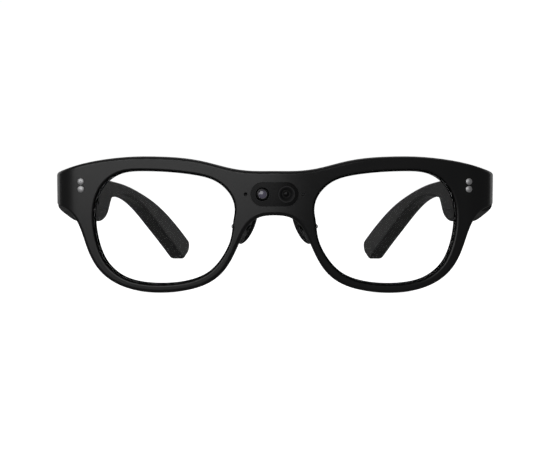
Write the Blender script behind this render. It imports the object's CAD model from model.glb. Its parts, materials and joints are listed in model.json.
"""Looks of the smart glasses: materials, small detail pieces, studio light and camera."""
import bpy
import json
import math
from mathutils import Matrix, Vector


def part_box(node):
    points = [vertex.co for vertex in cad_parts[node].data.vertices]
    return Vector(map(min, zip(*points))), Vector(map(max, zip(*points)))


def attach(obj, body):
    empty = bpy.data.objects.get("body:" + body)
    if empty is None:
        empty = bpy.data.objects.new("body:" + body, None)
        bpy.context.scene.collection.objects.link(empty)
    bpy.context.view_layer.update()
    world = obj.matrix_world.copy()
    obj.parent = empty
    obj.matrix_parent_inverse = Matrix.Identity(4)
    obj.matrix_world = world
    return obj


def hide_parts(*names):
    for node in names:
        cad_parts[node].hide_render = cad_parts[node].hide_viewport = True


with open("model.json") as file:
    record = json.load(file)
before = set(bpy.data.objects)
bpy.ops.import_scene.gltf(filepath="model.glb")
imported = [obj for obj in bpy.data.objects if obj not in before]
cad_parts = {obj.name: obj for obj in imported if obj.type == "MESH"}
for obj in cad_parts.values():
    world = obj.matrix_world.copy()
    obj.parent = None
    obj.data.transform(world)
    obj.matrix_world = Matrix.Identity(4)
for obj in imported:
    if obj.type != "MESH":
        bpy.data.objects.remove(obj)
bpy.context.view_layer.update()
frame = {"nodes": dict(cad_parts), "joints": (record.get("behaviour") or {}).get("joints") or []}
nodes = frame["nodes"]
MM = 0.001
EYE_HEIGHT = 23.6 * MM               # the eye line, above the surface that the glasses stand on
BODY_SMOOTH = math.radians(32)       # edges of CAD nodes sharper than this stay sharp
PIECE_SMOOTH = math.radians(40)      # the same for the pieces made here
COLOUR_SCALE = 60.0                  # features per metre of the slow colour change in plastic
WEAR_SCALE = 90.0                    # features per metre of the change in roughness


# ---- materials --------------------------------------------------------------------------------
def material(name):
    """A new node material and its Principled shader."""
    made = bpy.data.materials.new(name)
    made.use_nodes = True
    return made, made.node_tree.nodes["Principled BSDF"]


def link(mat, source, socket, target, input_name):
    """Joins a named output of one node to a named input of another."""
    mat.node_tree.links.new(source.outputs[socket], target.inputs[input_name])


def node(mat, kind, **values):
    """A new shader node; each value is an input's or a property's."""
    made = mat.node_tree.nodes.new(kind)
    for key, value in values.items():
        if key in made.inputs:
            made.inputs[key].default_value = value
        else:
            setattr(made, key, value)
    return made


def object_noise(mat, scale, detail=2.0):
    """Noise in object space, scale in features per metre."""
    place = node(mat, "ShaderNodeTexCoord")
    noise = node(mat, "ShaderNodeTexNoise", Scale=scale, Detail=detail)
    link(mat, place, "Object", noise, "Vector")
    return noise


def spread(mat, noise, low, high, target, input_name):
    """Maps noise, which mostly lies between 0.25 and 0.75, to a range and feeds it to an input."""
    remap = node(mat, "ShaderNodeMapRange")
    remap.inputs["From Min"].default_value = 0.25
    remap.inputs["From Max"].default_value = 0.75
    remap.inputs["To Min"].default_value = low
    remap.inputs["To Max"].default_value = high
    link(mat, noise, "Fac", remap, "Value")
    link(mat, remap, "Result", target, input_name)


def add_grain(mat, shader, scale, height, stretch=(1, 1, 1)):
    """Fine moulded or brushed texture as bump."""
    place = node(mat, "ShaderNodeTexCoord")
    shape = node(mat, "ShaderNodeMapping")
    shape.inputs["Scale"].default_value = stretch
    noise = node(mat, "ShaderNodeTexNoise", Scale=scale, Detail=3.0)
    bump = node(mat, "ShaderNodeBump", Distance=height, Strength=1.0)
    link(mat, place, "Object", shape, "Vector")
    link(mat, shape, "Vector", noise, "Vector")
    link(mat, noise, "Fac", bump, "Height")
    link(mat, bump, "Normal", shader, "Normal")


def colour_mix(mat, shader, first, second, factor):
    """Mixes two colours into the base colour by a node's output."""
    mix = node(mat, "ShaderNodeMix", data_type="RGBA")
    colours = [socket for socket in mix.inputs if socket.type == "RGBA"]
    colours[0].default_value = (*first, 1.0)
    colours[1].default_value = (*second, 1.0)
    mixed = next(socket for socket in mix.outputs if socket.type == "RGBA")
    mat.node_tree.links.new(factor, mix.inputs[0])
    mat.node_tree.links.new(mixed, shader.inputs["Base Color"])


def add_tint(mat, shader, dark, light, scale):
    """Slow colour variation between two colours."""
    noise = object_noise(mat, scale, 4.0)
    colour_mix(mat, shader, dark, light, noise.outputs["Fac"])


def plastic(name, colour, low, high, grain=9000.0, height=0.0000002, ior=1.5):
    """Moulded plastic: grain (per metre) of a height (m), and roughness that varies a little."""
    mat, shader = material(name)
    shader.inputs["IOR"].default_value = ior
    light = [1.25 * c for c in colour]
    add_tint(mat, shader, colour, light, COLOUR_SCALE)
    add_grain(mat, shader, grain, height)
    spread(mat, object_noise(mat, WEAR_SCALE, 3.0), low, high, shader, "Roughness")
    return mat


def metal(name, colour, roughness, brush=(1, 1, 12)):
    """Metal with a fine finish, brushed where the brush isn't the same in all directions."""
    mat, shader = material(name)
    add_tint(mat, shader, [0.9 * c for c in colour], colour, 400.0)
    shader.inputs["Metallic"].default_value = 1.0
    add_grain(mat, shader, 4000.0, 0.0000004, brush)
    spread(mat, object_noise(mat, 900.0), roughness - 0.05, roughness + 0.08, shader, "Roughness")
    return mat


def clear(name, tint, ior):
    """Polished clear glass or plastic; a low IOR stands for an antireflective coating."""
    mat, shader = material(name)
    shader.inputs["Base Color"].default_value = (*tint, 1.0)
    shader.inputs["Transmission Weight"].default_value = 1.0
    shader.inputs["Roughness"].default_value = 0.0
    shader.inputs["IOR"].default_value = ior
    return mat


def coated_glass(name, tint, coat_tint, ior):
    """Camera glass: dark, polished, with a coloured coating that shows towards its rim."""
    mat, shader = material(name)
    rim = node(mat, "ShaderNodeLayerWeight", Blend=0.35)
    colour_mix(mat, shader, tint, coat_tint, rim.outputs["Facing"])
    shader.inputs["Roughness"].default_value = 0.08
    shader.inputs["IOR"].default_value = ior
    return mat


frame_black = plastic("frame_black", (0.0065, 0.0065, 0.007), 0.27, 0.34)
temple_black = plastic("temple_black", (0.0075, 0.0075, 0.008), 0.36, 0.46)
speaker_black = plastic("speaker_black", (0.011, 0.011, 0.012), 0.42, 0.52)
button_black = plastic("button_black", (0.007, 0.007, 0.0075), 0.28, 0.36)
touch_black = plastic("touch_black", (0.006, 0.006, 0.0065), 0.26, 0.32, 5000.0, 0.0000001)
window_black = plastic("window_black", (0.0045, 0.0045, 0.005), 0.18, 0.24, 400.0, 0.0000005, 1.27)
barrel_grey = plastic("barrel_grey", (0.010, 0.010, 0.011), 0.45, 0.55)
module_black = plastic("module_black", (0.004, 0.004, 0.0045), 0.30, 0.40)
ring_black = plastic("ring_black", (0.006, 0.006, 0.007), 0.20, 0.28)
silicone = plastic("silicone", (0.0035, 0.0035, 0.004), 0.45, 0.58, 6000.0, 0.0000002)
gasket_black = plastic("gasket_black", (0.003, 0.003, 0.003), 0.5, 0.6)
lamp_grey = plastic("lamp_grey", (0.012, 0.012, 0.014), 0.18, 0.25)
flex_amber = plastic("flex_amber", (0.30, 0.13, 0.02), 0.30, 0.40)
board_green = plastic("board_green", (0.010, 0.090, 0.028), 0.35, 0.50)
battery_wrap = plastic("battery_wrap", (0.13, 0.15, 0.18), 0.30, 0.42)
dark_steel = metal("dark_steel", (0.22, 0.22, 0.23), 0.34)
screw_steel = metal("screw_steel", (0.50, 0.50, 0.51), 0.28, (12, 1, 1))
silver = metal("silver", (0.72, 0.72, 0.73), 0.50, (1, 1, 1))
gold = metal("gold", (0.85, 0.62, 0.27), 0.25, (1, 1, 1))
mesh_steel = metal("mesh_steel", (0.10, 0.10, 0.105), 0.40, (1, 1, 1))
lens_clear = clear("lens_clear", (1.0, 1.0, 1.0), 1.08)
waveguide_clear = clear("waveguide_clear", (0.995, 1.0, 1.0), 1.06)
opening_black = plastic("opening_black", (0.0012, 0.0012, 0.0014), 0.62, 0.72, 9000.0, 0.0000001, 1.25)
lens_edge_black = plastic("lens_edge_black", (0.002, 0.002, 0.002), 0.7, 0.8)
main_glass = coated_glass("main_glass", (0.18, 0.165, 0.235), (0.25, 0.23, 0.33), 1.9)
side_glass = coated_glass("side_glass", (0.006, 0.006, 0.007), (0.010, 0.010, 0.012), 1.25)


def dress(mat, *names):
    """Gives CAD nodes a material, shaded smooth across their rounds."""
    for name in names:
        data = nodes[name].data
        data.materials.clear()
        data.materials.append(mat)
        data.shade_smooth()
        data.set_sharp_from_angle(angle=BODY_SMOOTH)


def blacken_edges(*names):
    """Blackens the edge faces of clear plates, as a lens maker does against stray light."""
    for name in names:
        data = nodes[name].data
        data.materials.append(lens_edge_black)
        for face in data.polygons:
            if abs(face.normal.y) < 0.7:
                face.material_index = 1


def darken_openings(frame_node, lens_node):
    """Gives the walls of both lens openings, which face the middles of their lenses, a matt finish."""
    least_inward = 0.2                # of the sideways distance to the lens's middle
    most_forward = 0.93               # faces that look further to the front or back are not walls
    low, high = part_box(lens_node)
    lens = (low + high) / 2
    half_width = (high.x - low.x) / 2
    data = nodes[frame_node].data
    data.materials.append(opening_black)
    for face in data.polygons:
        across = abs(face.center.x) - lens.x
        inward = -across * math.copysign(1, face.center.x) * face.normal.x
        inward -= (face.center.z - lens.z) * face.normal.z
        near = abs(across) < half_width
        if near and inward > least_inward * abs(across) and abs(face.normal.y) < most_forward:
            face.material_index = 1


def pair(name):
    """The two mirrored nodes of a name."""
    return [name + "_left", name + "_right"]


dress(frame_black, "front_frame", "frame_back_cover")
darken_openings("front_frame", "lens_left")
dress(temple_black, *pair("temple_shell"), *pair("temple_inner_cover"))
dress(speaker_black, *pair("speaker_cover"))
dress(button_black, "power_button", "capture_button")
dress(touch_black, "touch_pad")
dress(window_black, "camera_window")
dress(module_black, "main_camera", *pair("projector"), *pair("speaker"))
dress(barrel_grey, "tracking_camera")
dress(gasket_black, *pair("lens_gasket"))
dress(lamp_grey, "indicator_light")
dress(dark_steel, *pair("front_hinge"), *pair("temple_hinge"), *pair("temple_core"), *pair("pad_arm"))
dress(screw_steel, *pair("hinge_pin"), *pair("temple_hinge_screws"), "front_hinge_screws", "cover_screws",
      "pad_screws")
dress(mesh_steel, "front_microphone")
dress(silver, "corner_studs")
dress(gold, "charging_contacts")
dress(lens_clear, *pair("lens"))
dress(waveguide_clear, *pair("waveguide"))
blacken_edges(*pair("lens"), *pair("waveguide"))
dress(main_glass, "main_camera_lens")
dress(side_glass, "tracking_camera_lens")
dress(flex_amber, "brow_flex_board")
dress(board_green, *pair("circuit_board"))
dress(battery_wrap, *pair("battery"))


# ---- detail pieces ------------------------------------------------------------------------------
def new_piece(name, points, faces, mat, body):
    """A mesh object with one material, on a body."""
    data = bpy.data.meshes.new(name)
    data.from_pydata(points, [], faces)
    data.materials.append(mat)
    data.shade_smooth()
    data.set_sharp_from_angle(angle=PIECE_SMOOTH)
    made = bpy.data.objects.new(name, data)
    bpy.context.scene.collection.objects.link(made)
    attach(made, body)
    return made


def middle(name):
    """The middle of a node's box."""
    low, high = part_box(name)
    return (low + high) / 2


def ring_points(centre, axis, start, profile, steps):
    """A profile of (radius, place along the axis) turned about the axis; closes on itself."""
    side = axis.cross(start)
    points = []
    for step in range(steps):
        angle = 2 * math.pi * step / steps
        out = start * math.cos(angle) + side * math.sin(angle)
        points += [centre + out * radius * MM + axis * along * MM for radius, along in profile]
    count = len(profile)
    faces = []
    for step in range(steps):
        here = step * count
        there = (step + 1) % steps * count
        for k in range(count):
            following = (k + 1) % count
            faces.append((here + k, there + k, there + following, here + following))
    return points, faces


def turned_ring(name, centre, axis, start, profile, mat, body, steps=72):
    """A turned profile as a piece of its own."""
    points, faces = ring_points(centre, axis, start, profile, steps)
    return new_piece(name, points, faces, mat, body)


INWARD = Vector((0, 1, 0))
RIGHT = Vector((1, 0, 0))


def camera_rings(name, lens, outer, aperture, reach, baffle_mat, rim_mat):
    """Stepped baffle in front of the camera's glass, and a thin retaining ring on it; radii in mm."""
    centre = middle(lens)
    centre.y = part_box(lens)[0].y
    baffle = [(outer, 0.30), (outer, -reach), (outer - 0.12, -reach - 0.03),
              (outer - 0.22, -reach + 0.06), (aperture + 0.16, -0.10), (aperture + 0.05, -0.06),
              (aperture, 0.0), (aperture, 0.05), (aperture + 0.2, 0.10), (outer - 0.1, 0.30)]
    turned_ring(name + "_baffle", centre, INWARD, RIGHT, baffle, baffle_mat, "front")
    rim = outer - 0.34
    retainer = [(rim, -0.16), (rim - 0.03, -0.21), (rim - 0.10, -0.21), (rim - 0.13, -0.16),
                (rim - 0.10, -0.08), (rim - 0.03, -0.08)]
    turned_ring(name + "_retainer", centre, INWARD, RIGHT, retainer, rim_mat, "front")


camera_rings("main_camera", "main_camera_lens", 1.84, 1.48, 0.22, ring_black, dark_steel)
camera_rings("tracking_camera", "tracking_camera_lens", 1.50, 0.85, 0.22, gasket_black, gasket_black)


def wire_run(points, side, up, radius):
    """A four-sided wire along a list of points: its corners and faces."""
    corners = []
    for point in points:
        corners += [point + side * radius, point + up * radius, point - side * radius, point - up * radius]
    faces = [(0, 1, 2, 3)]
    for k in range(len(points) - 1):
        here, there = 4 * k, 4 * k + 4
        for c in range(4):
            after = (c + 1) % 4
            faces.append((here + c, there + c, there + after, here + after))
    last = 4 * (len(points) - 1)
    faces.append((last + 3, last + 2, last + 1, last))
    return corners, faces


def woven_mesh(name, centre, across, along, half_across, half_along, pitch, wire, body):
    """Plain-woven wire mesh, sizes in mm: round when both halves are equal, else an oblong."""
    up = across.cross(along)
    round_one = abs(half_across - half_along) < 1e-6
    points, faces = [], []

    def add_wires(first, second, half_first, half_second, phase):
        count = int(half_first / pitch)
        crossings = int(half_second / pitch)
        for i in range(-count, count + 1):
            reach = crossings
            if round_one:
                reach = int(math.sqrt(max(half_first ** 2 - (i * pitch) ** 2, 0)) / pitch)
            if reach == 0:
                continue
            run = []
            for j in range(-2 * reach, 2 * reach + 1):
                lift = wire * math.cos(math.pi * (i + phase + j / 2))
                run.append(centre + (first * i * pitch + second * j * pitch / 2 + up * lift) * MM)
            made, sides = wire_run(run, first, up, wire * MM)
            base = len(points)
            points.extend(made)
            faces.extend(tuple(base + k for k in face) for face in sides)

    add_wires(across, along, half_across, half_along, 0)
    add_wires(along, across, half_along, half_across, 1)
    return new_piece(name, points, faces, mesh_steel, body)


for side in ("left", "right"):
    speaker_low, speaker_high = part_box("speaker_" + side)
    place = (speaker_low + speaker_high) / 2
    place.z = speaker_low.z - 0.05 * MM
    woven_mesh("speaker_mesh_" + side, place, Vector((1, 0, 0)), Vector((0, 1, 0)), 2.7, 5.4, 0.26, 0.024,
               "temple_" + side)

port = middle("front_microphone")
port.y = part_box("front_microphone")[0].y - 0.25 * MM
woven_mesh("microphone_mesh", port, RIGHT, Vector((0, 0, 1)), 0.62, 0.62, 0.12, 0.02, "front")


# ---- nose pads ------------------------------------------------------------------------------------
PAD_SLANT = math.radians(26.0)       # the pad's long axis, from upright
PAD_SPLAY = math.radians(25.0)       # how far the pads open towards the face
PAD_HALF_WIDTH = 3.45                # millimetres, as all sizes of the pad
PAD_HALF_LENGTH = 6.5
PAD_PIVOT = 1.535                    # the screw, behind the pad's centre
PAD_ROUNDNESS = 0.9                  # of its outline: 1 is an ellipse, less is fuller
PAD_BELLY = 0.06                     # how much wider the lower end is than the middle
# half section of the pad: share of the half width, and height towards the nose
PAD_PROFILE = [(0.0, 1.82), (0.3, 1.74), (0.55, 1.52), (0.76, 1.12), (0.90, 0.66), (0.98, 0.20),
               (1.0, -0.12), (0.97, -0.38), (0.90, -0.53), (0.74, -0.57), (0.5, -0.50), (0.25, -0.46),
               (0.0, -0.45)]


def pad_directions(side):
    """Width, normal (to the nose) and length directions of a pad."""
    length = Vector((math.sin(PAD_SLANT), 0, -math.cos(PAD_SLANT)))
    normal = Vector((-math.cos(PAD_SPLAY), math.sin(PAD_SPLAY), 0))
    normal -= length * normal.dot(length)
    normal.normalize()
    width = normal.cross(length)
    if side == "right":
        for direction in (length, normal, width):
            direction.x = -direction.x
    return width, normal, length


def pad_surface(centre, width, normal, length, steps=40):
    """Egg-shaped crowned pad; its points run from the middle of the front to the back's."""
    points = [centre + normal * PAD_PROFILE[0][1] * MM]
    for radius, rise in PAD_PROFILE[1:-1]:
        for step in range(steps):
            angle = 2 * math.pi * step / steps
            run = math.copysign(abs(math.sin(angle)) ** PAD_ROUNDNESS, math.sin(angle))
            wide = math.copysign(abs(math.cos(angle)) ** PAD_ROUNDNESS, math.cos(angle))
            belly = 1.0 + PAD_BELLY * run - PAD_BELLY
            points.append(centre + (width * wide * radius * belly * PAD_HALF_WIDTH + normal * rise
                                    + length * run * radius * PAD_HALF_LENGTH) * MM)
    points.append(centre + normal * PAD_PROFILE[-1][1] * MM)
    rings = len(PAD_PROFILE) - 2
    last = len(points) - 1
    faces = []
    for step in range(steps):
        after = (step + 1) % steps
        faces.append((0, 1 + step, 1 + after))
        for ring in range(rings - 1):
            here = 1 + ring * steps
            faces.append((here + step, here + steps + step, here + steps + after, here + after))
        base = 1 + (rings - 1) * steps
        faces.append((base + step, last, base + after))
    return points, faces


# section of the lug's ring round the screw: radius, and place along the screw
LUG_PROFILE = [(0.44, -0.60), (0.44, 0.60), (0.52, 0.64), (0.76, 0.64), (0.84, 0.56),
               (0.84, -0.56), (0.76, -0.64), (0.52, -0.64)]
NECK_ENDS = ((0.60, 1.0), (1.25, 1.5))   # distance from the screw, and how far the neck flares there
NECK_HALF = (0.5, 0.75)                  # half width and half length of the neck at the lug


def pad_neck(joint, width, normal, length):
    """Flared block between the lug and the back of the pad."""
    across, along = NECK_HALF
    points = []
    for distance, flare in NECK_ENDS:
        for a, b in ((-across, -along), (across, -along), (across, along), (-across, along)):
            points.append(joint + (normal * distance + width * a * flare + length * b * flare) * MM)
    faces = [(0, 1, 2, 3), (7, 6, 5, 4)]
    faces += [(k, k + 4, (k + 1) % 4 + 4, (k + 1) % 4) for k in range(4)]
    return points, faces


def make_nose_pad(side):
    """Soft pad with its drilled lug, in place of the plain CAD pad."""
    rock = next(j for j in frame["joints"] if j["name"] == "nose_pad_%s_rock" % side)
    joint = Vector(rock["pos_m"])
    width, normal, length = pad_directions(side)
    centre = joint + normal * PAD_PIVOT * MM
    points, faces = pad_surface(centre, width, normal, length)
    lug = ring_points(joint, width, normal, LUG_PROFILE, 40)
    neck = pad_neck(joint, width, normal, length)
    for more_points, more_faces in (lug, neck):
        base = len(points)
        points = points + more_points
        faces = faces + [tuple(base + k for k in face) for face in more_faces]
    pad = new_piece("soft_nose_pad_" + side, points, faces, silicone, "pad_" + side)
    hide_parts("nose_pad_" + side)


for side in ("left", "right"):
    make_nose_pad(side)


# ---- studio -----------------------------------------------------------------------------------------
FRONT = Vector((0.0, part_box("front_frame")[0].y, EYE_HEIGHT))
CAMERA_DISTANCE = 0.340       # metres, as all sizes of the studio
CAMERA_RISE = math.radians(2.4)
CAMERA_ASIDE = 0.0021         # the camera stands this far to the wearer's left
FIELD_WIDTH = 0.1864          # seen at the front's distance
SENSOR = 36.0                 # sensor width in mm
SHIFT = 0.5 / 550             # half of one part in 550 of the image's width


def make_floor():
    """Plain white floor that glows as brightly as the backdrop and stays out of reflections."""
    half = 4.0
    data = bpy.data.meshes.new("floor")
    data.from_pydata([(-half, -half, 0), (half, -half, 0), (half, half, 0), (-half, half, 0)], [],
                     [(0, 1, 2, 3)])
    made = bpy.data.objects.new("floor", data)
    bpy.context.scene.collection.objects.link(made)
    mat, shader = material("floor")
    shader.inputs["Base Color"].default_value = (0.8, 0.8, 0.8, 1)
    shader.inputs["Roughness"].default_value = 0.9
    shader.inputs["Emission Color"].default_value = (1, 1, 1, 1)
    shader.inputs["Emission Strength"].default_value = 1.0
    data.materials.append(mat)
    made.visible_glossy = False
    made.visible_diffuse = False


def make_world():
    """White backdrop for the camera and through the lenses, dim for light and reflections."""
    world = bpy.data.worlds.new("studio")
    bpy.context.scene.world = world
    world.use_nodes = True
    tree = world.node_tree
    dim = tree.nodes["Background"]
    dim.inputs["Color"].default_value = (1, 1, 1, 1)
    dim.inputs["Strength"].default_value = 0.105
    white = tree.nodes.new("ShaderNodeBackground")
    white.inputs["Color"].default_value = (1, 1, 1, 1)
    white.inputs["Strength"].default_value = 1.02
    ray = tree.nodes.new("ShaderNodeLightPath")
    mix = tree.nodes.new("ShaderNodeMixShader")
    seen = tree.nodes.new("ShaderNodeMath")
    seen.operation = "MAXIMUM"
    tree.links.new(ray.outputs["Is Camera Ray"], seen.inputs[0])
    tree.links.new(ray.outputs["Is Transmission Ray"], seen.inputs[1])
    tree.links.new(seen.outputs["Value"], mix.inputs["Fac"])
    tree.links.new(dim.outputs["Background"], mix.inputs[1])
    tree.links.new(white.outputs["Background"], mix.inputs[2])
    tree.links.new(mix.outputs["Shader"], tree.nodes["World Output"].inputs["Surface"])


def softbox(name, place, size, power):
    """An area light that faces the glasses; place and size in metres, power in watts."""
    data = bpy.data.lights.new(name, "AREA")
    data.shape = "RECTANGLE"
    data.size, data.size_y = size
    data.energy = power
    lamp = bpy.data.objects.new(name, data)
    bpy.context.scene.collection.objects.link(lamp)
    lamp.location = place
    lamp.rotation_euler = (FRONT - Vector(place)).to_track_quat("-Z", "Y").to_euler()
    lamp.visible_camera = False
    lamp.visible_transmission = False


def make_camera():
    """Camera in front of the glasses, a little above them."""
    data = bpy.data.cameras.new("camera")
    made = bpy.data.objects.new("camera", data)
    bpy.context.scene.collection.objects.link(made)
    back = Vector((0.0, -math.cos(CAMERA_RISE), math.sin(CAMERA_RISE)))
    made.location = FRONT + CAMERA_DISTANCE * back + Vector((CAMERA_ASIDE, 0, 0))
    made.rotation_euler = (FRONT - made.location).to_track_quat("-Z", "Y").to_euler()
    data.sensor_width = SENSOR
    data.lens = SENSOR * CAMERA_DISTANCE / FIELD_WIDTH
    data.shift_x = SHIFT
    data.clip_start = 0.01
    bpy.context.scene.camera = made


make_floor()
make_world()
softbox("left_panel", (-0.66, -1.6, 0.47), (1.75, 0.95), 9.0)
softbox("top_panel", (0.0, 0.5, 1.5), (1.6, 1.2), 5.0)
softbox("left_edge_panel", (-1.3, 0.72, 0.30), (0.8, 1.2), 2.2)
softbox("right_edge_panel", (1.3, 0.72, 0.30), (0.8, 1.2), 2.2)
make_camera()
bpy.context.scene.view_settings.view_transform = "Standard"
